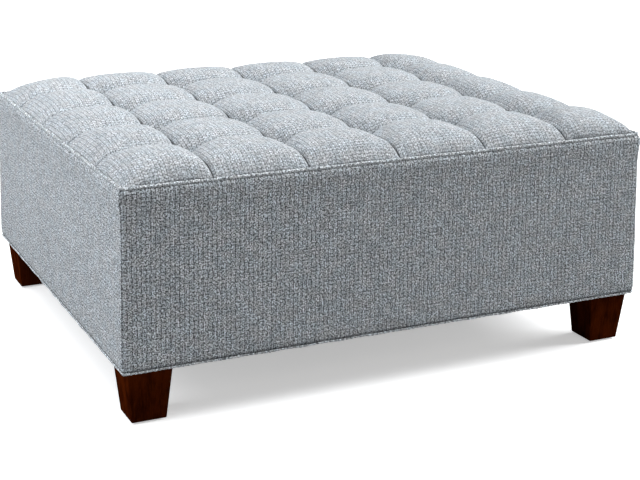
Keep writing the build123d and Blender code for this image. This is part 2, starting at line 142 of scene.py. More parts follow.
def weave(name, yarn, relief=0.0011, contrast=1.0, loops=0.40, tangle=5.0, ribs=0.28, middle=0.10):
    """The cover fabric. Its loops follow the "cloth" attribute: metres across the ribs, metres along them,
    and how much painted shade the point takes at the seams, their crossings and the welts. Loops, tangle and
    ribs say how much each does to the height, and middle is the height that has the yarn's own colour."""
    s = Shader(name)
    cloth = s.node("ShaderNodeAttribute", attribute_name="cloth").outputs["Vector"]
    seam = s.node("ShaderNodeSeparateXYZ", {0: cloth}).outputs[2]
    flat = s.vector("MULTIPLY", cloth, (1.0, 1.0, 0.0))
    stray = s.node("ShaderNodeTexNoise", {"Vector": flat, "Scale": 70.0, "Detail": 2.0}).outputs["Color"]
    stray = s.vector("MULTIPLY", s.vector("SUBTRACT", stray, (0.5, 0.5, 0.5)), loop_stray)
    laid = s.node("ShaderNodeSeparateXYZ", {0: s.vector("ADD", flat, stray)})
    column = s.math("DIVIDE", laid.outputs[0], column_pitch)
    column_index = s.math("FLOOR", column)
    in_column = s.math("SUBTRACT", s.math("FRACT", column), 0.5)
    odd = s.math("MODULO", s.math("ABSOLUTE", column_index), 2.0)
    slip = s.node("ShaderNodeTexWhiteNoise", {"W": column_index}, noise_dimensions="1D").outputs[0]
    row = s.math("ADD", s.math("DIVIDE", laid.outputs[1], loop_pitch), s.math("MULTIPLY", odd, column_lag))
    row = s.math("ADD", row, s.math("MULTIPLY", slip, column_slip))
    row_index = s.math("FLOOR", row)
    in_row = s.math("SUBTRACT", s.math("FRACT", row), 0.5)
    rib_index = s.math("FLOOR", s.math("MULTIPLY", column, 0.5))
    turn = s.math("MODULO", s.math("ABSOLUTE", s.math("ADD", rib_index, row_index)), 2.0)
    cell = s.node("ShaderNodeCombineXYZ", {0: column_index, 1: row_index}).outputs[0]
    lot = s.node("ShaderNodeTexWhiteNoise", {"Vector": cell}, noise_dimensions="2D").outputs["Color"]
    lots = s.node("ShaderNodeSeparateColor", {0: lot})
    # Each loop leans a little, to the left or to the right by turns
    lean = s.math("MULTIPLY", s.math("SUBTRACT", odd, 0.5), in_row)
    offset = s.math("ADD", in_column, s.math("MULTIPLY", lean, loop_lean))
    wide = s.math("POWER", s.math("ABSOLUTE", s.math("MULTIPLY", offset, loop_narrowness)), 2.0)
    high = s.math("POWER", s.math("ABSOLUTE", s.math("MULTIPLY", in_row, loop_shortness)), 2.0)
    loop = s.math("SQRT", s.math("MAXIMUM", s.math("SUBTRACT", 1.0, s.math("ADD", wide, high)), 0.0))
    size = s.span(lots.outputs[1], 0.0, 1.0, smallest_loop, largest_loop)
    size = s.math("SUBTRACT", size, s.math("MULTIPLY", turn, turned_loop))
    # Height: the loops, a furrow between each two ribs, and the yarn's tangled fibres
    rib = s.math("ABSOLUTE", s.math("SUBTRACT", s.math("FRACT", s.math("MULTIPLY", column, 0.5)), 0.5))
    furrow = s.span(rib, 0.2, 0.5)
    fuzz = s.math("SUBTRACT", s.noise(flat, fuzz_scale, 2.0, 0.65), 0.5)
    strands = s.math("SUBTRACT", s.noise(flat, strand_scale, 1.0, 0.5), 0.5)
    height = s.math("MULTIPLY", loop, s.math("MULTIPLY", size, loops))
    height = s.math("SUBTRACT", height, s.math("MULTIPLY", furrow, ribs))
    height = s.math("ADD", height, s.math("MULTIPLY", fuzz, tangle))
    height = s.math("ADD", height, s.math("MULTIPLY", strands, strand_share))
    # Colour: the height painted in as shade and light, dark in the pits and between the ribs and light on the
    # loops' crests; each loop a little lighter or darker than the next
    level = s.span(height, middle - pit_span, middle + crest_span,
                   1.0 - pit_painted_shade * contrast, 1.0 + crest_painted_light * contrast)
    shade = s.span(lots.outputs[0], 0.0, 1.0, 1.0 - loop_shade * contrast, 1.0 + loop_shade * contrast)
    cloud = s.span(s.noise(flat, 7.0, 3.0), 0.3, 0.7, 0.975, 1.025)
    level = s.math("MULTIPLY", s.math("MULTIPLY", level, shade), cloud)
    # Painted shade in the seams, their pockets and beside the welts, from the cloth attribute's third number
    level = s.math("MULTIPLY", level, s.span(seam, 0.0, 1.0, 1.0, seam_painted_shade))
    warmth = s.span(s.noise(flat, 38.0, 2.0), 0.35, 0.65)
    tone = s.mix(warmth, tinted(yarn, cool_tint), tinted(yarn, warm_tint))
    s.set(Base_Color=s.vector("MULTIPLY", tone, level), Roughness=0.92, Specular_IOR_Level=0.15,
          Sheen_Weight=0.08, Sheen_Roughness=0.6, Normal=s.bump(height, relief, 0.6))
    return s.material


def stained_wood(name, dark, mid, light):
    """Wood whose grain runs up Z, under a dark stain that takes the light without a glare: broad figure,
    fine lines and dark pores."""
    s = Shader(name)
    figure = s.noise(s.place((46, 46, 17)), 1.0, 4.0, 0.55)
    lines = s.noise(s.place((420, 420, 12)), 1.0, 3.0, 0.6)
    pores = s.noise(s.place((1500, 1500, 38)), 1.0, 2.0, 0.5)
    tone = s.mix(s.span(figure, 0.34, 0.68), dark, mid)
    tone = s.mix(s.math("MULTIPLY", s.span(lines, 0.42, 0.72), 0.35), tone, light)
    tone = s.mix(s.math("MULTIPLY", s.span(pores, 0.58, 0.7), 0.35), tone, tinted(dark, 0.4))
    dents = s.math("MULTIPLY", s.span(pores, 0.55, 0.7), 0.5)
    height = s.math("SUBTRACT", s.math("MULTIPLY", lines, 0.5), dents)
    s.set(Base_Color=tone, Roughness=s.span(lines, 0.2, 0.8, 0.32, 0.46), Specular_IOR_Level=0.0,
          Normal=s.bump(height, 0.00012, 0.6))
    return s.material


def raw_wood(name, pale, dark, stretch, layers=0.0):
    """Unfinished timber or plywood; with layers, plies that many to the metre show in its edges."""
    s = Shader(name)
    grain = s.noise(s.place(stretch), 1.0, 4.0, 0.6)
    tone = s.mix(s.span(grain, 0.35, 0.7), pale, dark)
    if layers:
        height = s.node("ShaderNodeSeparateXYZ", {0: s.place()}).outputs[2]
        ply = s.math("ABSOLUTE", s.math("SUBTRACT", s.math("FRACT", s.math("MULTIPLY", height, layers)), 0.5))
        tone = s.mix(s.span(ply, 0.3, 0.36, 0.0, 0.35), tone, tinted(dark, 0.6))
    s.set(Base_Color=tone, Roughness=0.72, Normal=s.bump(grain, 0.0002, 0.5))
    return s.material


def plain(name, colour, variation, scale, roughness, relief, metallic=0.0):
    """Foam, wadding, cloth, plastic or metal: fine speckle in its colour and its surface."""
    s = Shader(name)
    speck = s.noise(s.place(), scale, 3.0, 0.6)
    tone = s.mix(s.span(speck, 0.35, 0.68), tinted(colour, 1 - variation), colour)
    s.set(Base_Color=tone, Roughness=roughness, Metallic=metallic, Normal=s.bump(speck, relief, 0.7))
    return s.material


# The walls' fabric; the same pulled flatter over the tufts, with lighter yarn and less contrast as painted
# light on the top; and the same wound round the cords, with lighter yarn as painted light on the welts
cover = weave("cover_weave", (0.358, 0.385, 0.408))
stretched_lit_cover = weave("stretched_lit_cover_weave", (0.406, 0.433, 0.458), relief=0.0009, contrast=0.80,
                        loops=0.54, tangle=3.0, ribs=0.19, middle=0.22)
lit_welt_cover = weave("lit_welt_weave", (0.48, 0.51, 0.535), relief=0.0008, contrast=0.9)
espresso = stained_wood("espresso_wood", (0.020, 0.0026, 0.0004), (0.056, 0.0086, 0.0010),
                        (0.088, 0.018, 0.002))
plywood = raw_wood("birch_plywood", (0.62, 0.46, 0.29), (0.45, 0.31, 0.18), (9, 60, 60), layers=650.0)
hardwood = raw_wood("planed_hardwood", (0.52, 0.37, 0.22), (0.36, 0.24, 0.13), (120, 120, 8))
softwood = raw_wood("planed_softwood", (0.70, 0.56, 0.37), (0.55, 0.40, 0.23), (110, 8, 110))
# Colour, how much darker the specks are, specks to the metre, roughness, height
foam = plain("cut_foam", (0.80, 0.75, 0.56), 0.25, 420.0, 0.95, 0.0006)
wadding = plain("bonded_wadding", (0.86, 0.86, 0.84), 0.12, 260.0, 0.97, 0.0012)
zinc = plain("zinc_steel", (0.62, 0.62, 0.60), 0.2, 900.0, 0.32, 0.00004, metallic=1.0)
twine = plain("waxed_twine", (0.72, 0.66, 0.54), 0.35, 1600.0, 0.7, 0.0002)
fibre = plain("fibre_washer", (0.12, 0.10, 0.09), 0.3, 700.0, 0.85, 0.0001)
black_cloth = plain("spunbond_cloth", (0.022, 0.022, 0.024), 0.55, 900.0, 0.9, 0.0003)
nylon = plain("moulded_nylon", (0.035, 0.028, 0.024), 0.15, 500.0, 0.45, 0.00005)


# Mesh helpers
def make_piece(name, points, faces, material, stands_for=(), cloth=None, smooth=True):
    """A mesh object that rides on the body and takes the place of the CAD nodes named."""
    mesh = bpy.data.meshes.new(name)
    mesh.from_pydata(np.asarray(points, float).reshape(-1, 3).tolist(), [], faces)
    mesh.update()
    if cloth is not None:
        layer = mesh.attributes.new("cloth", "FLOAT_VECTOR", "POINT")
        layer.data.foreach_set("vector", np.asarray(cloth, np.float32).ravel())
    mesh.materials.append(material)
    mesh.polygons.foreach_set("use_smooth", [smooth] * len(mesh.polygons))
    piece = bpy.data.objects.new(name, mesh)
    bpy.context.scene.collection.objects.link(piece)
    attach(piece, "root")
    if stands_for:
        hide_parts(*stands_for)
    return piece


def grid_faces(rows, columns, start=0, closed_rows=False, closed_columns=False, flip=False):
    """Quads of a grid of points stored row by row."""
    faces = []
    for r in range(rows if closed_rows else rows - 1):
        for c in range(columns if closed_columns else columns - 1):
            up, right = (r + 1) % rows, (c + 1) % columns
            quad = (r * columns + c, r * columns + right, up * columns + right, up * columns + c)
            quad = quad[::-1] if flip else quad
            faces.append(tuple(start + i for i in quad))
    return faces


def border(rows, columns):
    """The indices round the edge of a grid, in order."""
    front = list(range(columns))
    right = [r * columns + columns - 1 for r in range(1, rows)]
    back = [(rows - 1) * columns + c for c in range(columns - 2, -1, -1)]
    left = [r * columns for r in range(rows - 2, 0, -1)]
    return front + right + back + left


def shell(outside, inside):
    """A closed sheet between two grids of the same shape, and its faces."""
    rows, columns = outside.shape[:2]
    count = rows * columns
    faces = grid_faces(rows, columns) + grid_faces(rows, columns, count, flip=True)
    edge = border(rows, columns)
    for a, b in zip(edge, edge[1:] + edge[:1]):
        faces.append((b, a, count + a, count + b))
    return np.concatenate([outside.reshape(-1, 3), inside.reshape(-1, 3)]), faces


def outline(inset, step, level):
    """Points round the block that far inside its walls, anticlockwise from the front left corner: their places,
    the directions outward, and the lengths from the first."""
    radius = corner_radius - inset
    half_x, half_y = wall_x - corner_radius, wall_y - corner_radius
    turns = [(-90, half_x, -half_y, 2 * half_x), (0, half_x, half_y, 2 * half_y),
             (90, -half_x, half_y, 2 * half_x), (180, -half_x, -half_y, 2 * half_y)]
    points, normals = [], []
    for start, centre_x, centre_y, run in turns:
        out = np.array([math.cos(math.radians(start)), math.sin(math.radians(start))])
        ahead = np.array([-out[1], out[0]])
        centre = np.array([centre_x, centre_y])
        pieces = max(2, round(run / step))
        for k in range(pieces):
            points.append(centre + out * radius - ahead * run * (1 - k / pieces))
            normals.append(out)
        bend = max(4, round(radius * math.pi / 2 / step))
        for k in range(bend):
            angle = math.radians(start + 90 * k / bend)
            turned = np.array([math.cos(angle), math.sin(angle)])
            points.append(centre + turned * radius)
            normals.append(turned)
    points, normals = np.array(points), np.array(normals)
    lengths = np.concatenate([[0], np.cumsum(np.linalg.norm(np.diff(points, axis=0), axis=1))])
    line = np.column_stack([points, np.full(len(points), level)])
    return line, np.column_stack([normals, np.zeros(len(points))]), lengths


def flared(points):
    """The fabric box widens a little towards its foot."""
    points = np.array(points, float)
    low = flare * np.clip((shoulder_z - points[..., 2]) / (shoulder_z - wall_foot_z), 0, 1)
    points[..., 0] *= 1 + low / wall_x
    points[..., 1] *= 1 + low / wall_y
    return points


def ripple(values, length, count, low, high):
    """A smooth random wave over a closed loop of that length, about 1 high, with whole waves low to high."""
    total = np.zeros_like(values)
    for _ in range(count):
        waves = random.integers(low, high)
        total += np.sin(2 * math.pi * waves * values / length + random.uniform(0, 2 * math.pi))
    return total / math.sqrt(count)


def bell(distance, width):
    return np.exp(-(distance / width) ** 2)


def fading(distance, reach):
    """From 1 at an edge to 0 far inside it."""
    return np.exp(-np.clip(distance, 0, 1) / reach)


# Tufted top: a sewn cover of puffed squares, inflated by cloth simulation between its pinned seams.
# Heights over the top seam before that: crowns inside, along the edge and in the back corners; seams half
# way between their crossings, along X and along Y; crossings
crown_rise, edge_crown_rise, corner_crown_rise = 0.0366, 0.0391, 0.0355
seam_x_rise, seam_y_rise, pull_rise = 0.0203, 0.0200, -0.0088
back_fullness = 0.0055  # how much higher the seams along Y stand in the back row than in the front one
pocket_depth, pocket_reach = 0.0233, 0.021  # dip round each crossing
# Steepness of the seams' arches and the squares' bulges, inside and at the edge
inner_arch, edge_arch = 3.5, 3.6
inner_bulge_x, inner_bulge_y, edge_bulge = 3.2, 1.9, 4.6
corner_bulge = 2.2  # how many times steeper in the front right corner
floor_ease = 0.0012  # how softly the deepest pockets are kept off the slab
tuft_steps = 16  # grid steps across a tuft
seam_line_shares = (0.08, 0.22, 0.5)  # shares of a step, for the lines added on both sides of a seam
sim_frames, sim_pressure, sim_shrink = 12, 12.0, -0.01
rim_x, rim_y = wall_x - 0.0061, wall_y - 0.0061  # edge of the cover, beside the welt
crease_depth, crease_reach = 0.0065, 0.012  # how the cover turns down into its seams
crease_fade = 0.008  # creases run out this near the edge
rim_drop, rim_drop_reach = 0.0040, 0.0035
# Painted shade of the seams: the stitched line, with what a crossing adds to it and from how far; the pull at a
# crossing; and the edge under the welt, on the long sides and on the short ones
line_width, line_painted_shade, added_width, added_painted_shade, added_reach = 0.0022, 0.8, 0.0105, 0.35, 0.03
pull_painted_shade, pull_reach = 0.66, 0.020
long_rim_painted_shade, long_rim_width, short_rim_painted_shade, short_rim_width = 0.9, 0.0045, 0.12, 0.0030


def tuft_lines(limit, seams):
    """Grid lines along one side, closer beside the seams, and the lines that lie on a seam or the rim."""
    edges = [-limit] + seams + [limit]
    k = np.arange(1, tuft_steps + 1) / tuft_steps
    shares = 0.3 * (1 - np.cos(math.pi * k)) + 0.4 * k
    places = [edges[0]]
    for low, high in zip(edges[:-1], edges[1:]):
        places += list(low + (high - low) * shares)
    return np.array(places), edges


def swell(share, at_start, at_end):
    """From 0 at both ends to 1 in the middle; the larger the exponent at an end, the steeper its side."""
    return 1 - np.abs(2 * share - 1) ** np.where(share < 0.5, at_start, at_end)


def arch(share, start, end, middle, at_start, at_end):
    return start + (end - start) * share + (middle - (start + end) / 2) * swell(share, at_start, at_end)


def cell_shares(places, edges):
    """Which tuft each place is in, and how far across it."""
    index = np.clip(np.searchsorted(edges, places, side="right") - 1, 0, len(edges) - 2)
    edges = np.array(edges)
    return index, (places - edges[index]) / (edges[index + 1] - edges[index])


def puffed(lines_x, edges_x, lines_y, edges_y):
    """Heights over the top seam: the rim is level, seams arch between their crossings, and squares bulge
    over them."""
    column, s = cell_shares(lines_x, edges_x)
    row, t = cell_shares(lines_y, edges_y)
    column, s = column[None, :], s[None, :]
    row, t = row[:, None], t[:, None]
    on_left, on_right = column == 0, column == len(edges_x) - 2
    on_front, on_back = row == 0, row == len(edges_y) - 2
    rise_y = seam_y_rise + back_fullness * row / (len(edges_y) - 2)
    low = {(a, b): np.where((on_right if a else on_left) | (on_back if b else on_front), 0.0, pull_rise)
           for a in (0, 1) for b in (0, 1)}
    steep = {side: np.where(side_on, edge_arch, inner_arch) for side, side_on in
             (("left", on_left), ("right", on_right), ("front", on_front), ("back", on_back))}
    full = {side: np.where(side_on, edge_bulge, inner) for side, side_on, inner in
            (("left", on_left, inner_bulge_x), ("right", on_right, inner_bulge_x),
             ("front", on_front, inner_bulge_y), ("back", on_back, inner_bulge_y))}
    # The four sides of each tuft, and the skin stretched between them
    front = np.where(on_front, 0.0, arch(s, low[0, 0], low[1, 0], seam_x_rise, steep["left"], steep["right"]))
    back = np.where(on_back, 0.0, arch(s, low[0, 1], low[1, 1], seam_x_rise, steep["left"], steep["right"]))
    left = np.where(on_left, 0.0, arch(t, low[0, 0], low[0, 1], rise_y, steep["front"], steep["back"]))
    right = np.where(on_right, 0.0, arch(t, low[1, 0], low[1, 1], rise_y, steep["front"], steep["back"]))
    plane = ((1 - s) * (1 - t) * low[0, 0] + s * (1 - t) * low[1, 0]
             + (1 - s) * t * low[0, 1] + s * t * low[1, 1])
    skin = (1 - t) * front + t * back + (1 - s) * left + s * right - plane
    middles = [np.where(rim, 0.0, rise) for rim, rise in ((on_front, seam_x_rise), (on_back, seam_x_rise),
                                                          (on_left, rise_y), (on_right, rise_y))]
    centre = sum(middles) / 2 - sum(low.values()) / 4
    # The bulge that brings the middle of the skin up to the crown
    crown = np.where(on_left | on_right | on_front | on_back, edge_crown_rise, crown_rise)
    crown = np.where((on_left | on_right) & on_back, corner_crown_rise, crown)
    full_corner = np.where(on_right & on_front, corner_bulge, 1.0)
    bulge_x = swell(s, full["left"], full["right"] * full_corner)
    bulge_y = swell(t, full["front"] * full_corner, full["back"])
    bulge = bulge_x * bulge_y
    gap_x = np.min([np.abs(lines_x - edge) for edge in edges_x[1:-1]], axis=0)[None, :]
    gap_y = np.min([np.abs(lines_y - edge) for edge in edges_y[1:-1]], axis=0)[:, None]
    pocket = pocket_depth * np.exp(-np.hypot(gap_x, gap_y) / pocket_reach)
    heights = skin + (crown - centre) * bulge - pocket
    floor_z = slab_z + floor_ease - seam_z
    return floor_z + np.logaddexp(0, (heights - floor_z) / floor_ease) * floor_ease


def closed_cover(top):
    """The cover's points and faces, with its edge turned down to the slab and a flat underside."""
    rows, columns = top.shape[:2]
    points = top.reshape(-1, 3)
    edge = border(rows, columns)
    foot = points[edge].copy()
    foot[:, 2] = slab_z + 0.0004
    faces = grid_faces(rows, columns)
    count, ring = len(points), len(edge)
    for k in range(ring):
        after = (k + 1) % ring
        faces.append((edge[after], edge[k], count + k, count + after))
    faces.append(tuple(count + k for k in range(ring)[::-1]))
    return np.concatenate([points, foot]), faces


def inflate(top, sewn):
    """Blows the cover up between its pinned seams with Blender's cloth, and returns its new points."""
    points, faces = closed_cover(top)
    mesh = bpy.data.meshes.new("sewn_cover")
    mesh.from_pydata(points.tolist(), [], faces)
    bag = bpy.data.objects.new("sewn_cover", mesh)
    bpy.context.scene.collection.objects.link(bag)
    pins = bag.vertex_groups.new(name="pins")
    count = top.shape[0] * top.shape[1]
    held = [int(i) for i in np.flatnonzero(sewn)] + list(range(count, len(points)))
    pins.add(held, 1.0, "REPLACE")
    cloth = bag.modifiers.new("cloth", "CLOTH")
    settings = cloth.settings
    settings.vertex_group_mass = "pins"
    settings.quality = 6
    settings.use_pressure = True
    settings.uniform_pressure_force = sim_pressure
    settings.shrink_min = settings.shrink_max = sim_shrink
    settings.bending_stiffness = 0.5
    settings.effector_weights.gravity = 0.0
    cloth.collision_settings.use_collision = False
    cloth.point_cache.frame_start, cloth.point_cache.frame_end = 1, sim_frames
    for number in range(1, sim_frames + 1):
        bpy.context.scene.frame_set(number)
    blown = bag.evaluated_get(bpy.context.evaluated_depsgraph_get())
    places = np.zeros(len(blown.data.vertices) * 3, np.float32)
    blown.data.vertices.foreach_get("co", places)
    bpy.context.scene.frame_set(1)
    bpy.data.objects.remove(bag)
    bpy.data.meshes.remove(mesh)
    return places.reshape(-1, 3)[:count].reshape(top.shape).astype(float)


def refined(grid, sharp):
    """Twice as many rows, smoothed as a cubic spline but left sharp at the lines given."""
    count = len(grid)
    middle = grid.copy()
    inner = [i for i in range(1, count - 1) if i not in sharp]
    middle[inner] = (grid[[i - 1 for i in inner]] + 6 * grid[inner] + grid[[i + 1 for i in inner]]) / 8
    fine = np.zeros((2 * count - 1, *grid.shape[1:]))
    fine[::2] = middle
    fine[1::2] = (grid[:-1] + grid[1:]) / 2
    return fine


def with_lines(grid, marks, shares):
    """More rows close beside each marked row, so that the cover can turn down into its seams."""
    rows = [grid[0]]
    for i in range(1, len(grid)):
        added = list(shares) if i - 1 in marks else []
        added += [1 - share for share in reversed(shares)] if i in marks else []
        rows += [grid[i - 1] + (grid[i] - grid[i - 1]) * share for share in added] + [grid[i]]
    return np.stack(rows)


def turned_down(share):
    """From 1 at a seam to 0 away from it, as a quarter of an ellipse: upright in the seam, level outside."""
    return 1 - np.sqrt(1 - (1 - np.clip(share, 0, 1)) ** 2)


def painted_seam_shade(top, gap_x, gap_y):
    """How much painted shade each point takes from a stitched line, a crossing or the welt: 1 is the darkest.
    """
    crossing = np.hypot(gap_x, gap_y)
    near = np.exp(-crossing / added_reach)
    width = line_width + added_width * near
    line = np.minimum(line_painted_shade + added_painted_shade * near, 1) * np.maximum(bell(gap_x, width), bell(gap_y, width))
    pulled = pull_painted_shade * np.exp(-crossing / pull_reach)
    long_rim = long_rim_painted_shade * bell(rim_y - np.abs(top[..., 1]), long_rim_width)
    short_rim = short_rim_painted_shade * bell(rim_x - np.abs(top[..., 0]), short_rim_width)
    return np.maximum.reduce([line, pulled, long_rim, short_rim])


def fabric_lengths(top, marks_x, marks_y):
    """Metres along the fabric from the middle of each tuft, so that the ribs follow its swell."""
    length_x = np.zeros(top.shape[:2])
    length_y = np.zeros(top.shape[:2])
    length_x[:, 1:] = np.cumsum(np.linalg.norm(np.diff(top, axis=1), axis=2), axis=1)
    length_y[1:, :] = np.cumsum(np.linalg.norm(np.diff(top, axis=0), axis=2), axis=0)
    for a, b in zip(marks_x[:-1], marks_x[1:]):
        middle = (a + b) // 2
        last = b if b < top.shape[1] - 1 else b + 1
        length_x[:, a:last] += top[0, middle, 0] - length_x[:, [middle]]
    for a, b in zip(marks_y[:-1], marks_y[1:]):
        middle = (a + b) // 2
        last = b if b < top.shape[0] - 1 else b + 1
        length_y[a:last, :] += top[middle, 0, 1] - length_y[[middle], :]
    return length_x, length_y


def tufted_cover():
    lines_x, edges_x = tuft_lines(rim_x, seams_x)
    lines_y, edges_y = tuft_lines(rim_y, seams_y)
    across, deep = np.meshgrid(lines_x, lines_y)
    top = np.stack([across, deep, seam_z + puffed(lines_x, edges_x, lines_y, edges_y)], -1)
    sharp_x = range(0, len(lines_x), tuft_steps)
    sharp_y = range(0, len(lines_y), tuft_steps)
    sewn = np.zeros(top.shape[:2], bool)
    sewn[list(sharp_y), :] = True
    sewn[:, list(sharp_x)] = True
    top = inflate(top, sewn)
    top = refined(top, sharp_y)
    top = refined(top.transpose(1, 0, 2), sharp_x).transpose(1, 0, 2)
    top = with_lines(top, [2 * i for i in sharp_y], seam_line_shares)
    top = with_lines(top.transpose(1, 0, 2), [2 * i for i in sharp_x], seam_line_shares).transpose(1, 0, 2)
    stride = 2 * tuft_steps + 2 * len(seam_line_shares)
    fine_x = [stride * k for k in range(1, len(edges_x) - 1)]
    fine_y = [stride * k for k in range(1, len(edges_y) - 1)]
    # Beside each seam the cover rolls under into the stitches, and at its edge down to the welt
    gap_x = np.min([np.linalg.norm(top - top[:, [m]], axis=2) for m in fine_x], axis=0)
    gap_y = np.min([np.linalg.norm(top - top[[m], :], axis=2) for m in fine_y], axis=0)
    from_rim = np.minimum(rim_x - np.abs(top[..., 0]), rim_y - np.abs(top[..., 1]))
    dip = sum(crease_depth * turned_down(gap / crease_reach) for gap in (gap_x, gap_y))
    dip = dip * (1 - fading(from_rim, crease_fade))
    top[..., 2] -= dip + rim_drop * fading(from_rim, rim_drop_reach)
    top[..., 2] = np.maximum(top[..., 2], slab_z + 0.0008)
    last_x, last_y = top.shape[1] - 1, top.shape[0] - 1
    length_x, length_y = fabric_lengths(top, [0, *fine_x, last_x], [0, *fine_y, last_y])
    # The third number is the painted shade of the seams, their pockets and the rim under the welt
    cloth = np.stack([length_x, length_y, painted_seam_shade(top, gap_x, gap_y)], -1).reshape(-1, 3)
    points, faces = closed_cover(top)
    cloth = np.concatenate([cloth, np.zeros((len(points) - len(cloth), 3))])
    piece = make_piece("tufted_cover", points, faces, stretched_lit_cover, ("tufted_top",), cloth)


tufted_cover()

# Welts: beaded covered cords, the top one pinched where the tufts' seams meet it
top_welt_radius, top_welt_inset, top_welt_lift = 0.0031, 0.003, 0.0006
bottom_welt_radius, bottom_welt_inset = 0.0021, 0.0032
cord_sides, cord_step, bead_pitch = 16, 0.0014, 0.0085
cord_unevenness, pinch, pinch_reach = 0.04, 0.16, 0.004


def tube(name, inset, level, radius, stands_for, crossings=(), slack=0.0003, beads=0.15):
    """A cord round the block whose girth beads and wavers and whose line is a little slack."""
    line, out, lengths = outline(inset, cord_step, level)
    total = lengths[-1] + cord_step
    girth = radius * (1 + cord_unevenness * ripple(lengths, total, 5, 90, 260)
                      + beads * np.sin(2 * math.pi * lengths / bead_pitch))
    for place in crossings:
        girth *= 1 - pinch * bell(np.linalg.norm(line[:, :2] - place, axis=1), pinch_reach)
    line = line + out * (slack * ripple(lengths, total, 4, 20, 70))[:, None]
    line[:, 2] += slack * ripple(lengths, total, 4, 15, 60)
    turn = np.linspace(0, 2 * math.pi, cord_sides, endpoint=False)
    ring = out[:, None, :] * np.cos(turn)[None, :, None] + np.array([0, 0, 1.0]) * np.sin(turn)[None, :, None]
    points = flared(line[:, None, :] + ring * girth[:, None, None])
    faces = grid_faces(len(line), cord_sides, closed_rows=True, closed_columns=True)
    # The cover is cut on the bias, so its ribs wind round the cord
    spin = np.tile(turn * radius, (len(line), 1))
    run = np.tile(lengths[:, None], (1, cord_sides))
    cloth = np.stack([(run + spin) / math.sqrt(2), (run - spin) / math.sqrt(2), 0 * run], -1)
    make_piece(name, points, faces, lit_welt_cover, stands_for, cloth.reshape(-1, 3))


edge_x, edge_y = wall_x - top_welt_inset, wall_y - top_welt_inset
seam_ends = [(x, side * edge_y) for x in seams_x for side in (-1, 1)]
seam_ends += [(side * edge_x, y) for y in seams_y for side in (-1, 1)]
tube("top_welt_cord", top_welt_inset, seam_z + top_welt_lift, top_welt_radius, ("top_welt",), seam_ends)
tube("bottom_welt_cord", bottom_welt_inset, leg_top_z + bottom_welt_radius, bottom_welt_radius,
     ("bottom_welt",), slack=0.0005, beads=0.16)

tape_outer_inset, tape_inner_inset = 0.0055, 0.023
tape_z, tape_thickness, tape_waviness = 0.1029, 0.001, 0.00015


def flange():
    """The welt's tape, stapled under the frame inside the cord."""
    outer, _, _ = outline(tape_outer_inset, 0.03, tape_z)
    inner_x, inner_y = wall_x - tape_inner_inset, wall_y - tape_inner_inset
    inner = outer.copy()
    inner[:, 0] = np.clip(inner[:, 0], -inner_x, inner_x)
    inner[:, 1] = np.clip(inner[:, 1], -inner_y, inner_y)
    thick = (0, 0, tape_thickness)
    rings = np.stack([outer, inner, inner + thick, outer + thick])
    rings[:, :, 2] += tape_waviness * np.sin(np.arange(len(outer)) * 1.7)
    faces = grid_faces(4, len(outer), closed_rows=True, closed_columns=True)
    cloth = (rings * (1, 1, 0)).reshape(-1, 3)
    make_piece("bottom_welt_tape", flared(rings), faces, lit_welt_cover, ("bottom_welt",), cloth,
               smooth=False)


flange()

# Fabric walls: rolled out under the top welt, drawn in at the foot, sewn at the corners
roll_proud, roll_turn, tuck, wall_skin = 0.0033, 0.0068, 0.0025, 0.004
roll_foot_z, roll_crest_z, tuck_top_z = 0.370, 0.4182, 0.1218
wall_step = 0.0055  # between the columns of the grid
# Heights between which its rows are evenly spaced, and the number of steps up each stretch
wall_stops, wall_rows = (wall_foot_z, 0.124, roll_foot_z, 0.412, shoulder_z), (8, 29, 9, 14)
gather, gather_fade = 0.00042, 0.016  # under the top seam
foot_pull, foot_pull_fade = 0.00030, 0.02
unevenness = 0.00022
corner_draw, corner_draw_reach = 0.0013, 0.0022
pucker_height, pucker_pitch, pucker_reach = 0.00035, 0.017, 0.009


def wall_swell(z):
    """How far the wall stands out of its plane at each height."""
    drawn = -tuck * np.clip((tuck_top_z - z) / (tuck_top_z - wall_foot_z), 0, 1) ** 2
    rise = np.clip((z - roll_foot_z) / (roll_crest_z - roll_foot_z), 0, 1)
    roll = roll_proud * rise * rise * (3 - 2 * rise)
    over = np.clip((z - roll_crest_z) / (shoulder_z - roll_crest_z), 0, 1)
    return drawn + roll - roll_turn * (1 - np.sqrt(1 - 0.98 * over * over))


def about_z(angle):
    return np.array(Matrix.Rotation(math.radians(angle), 3, "Z"))


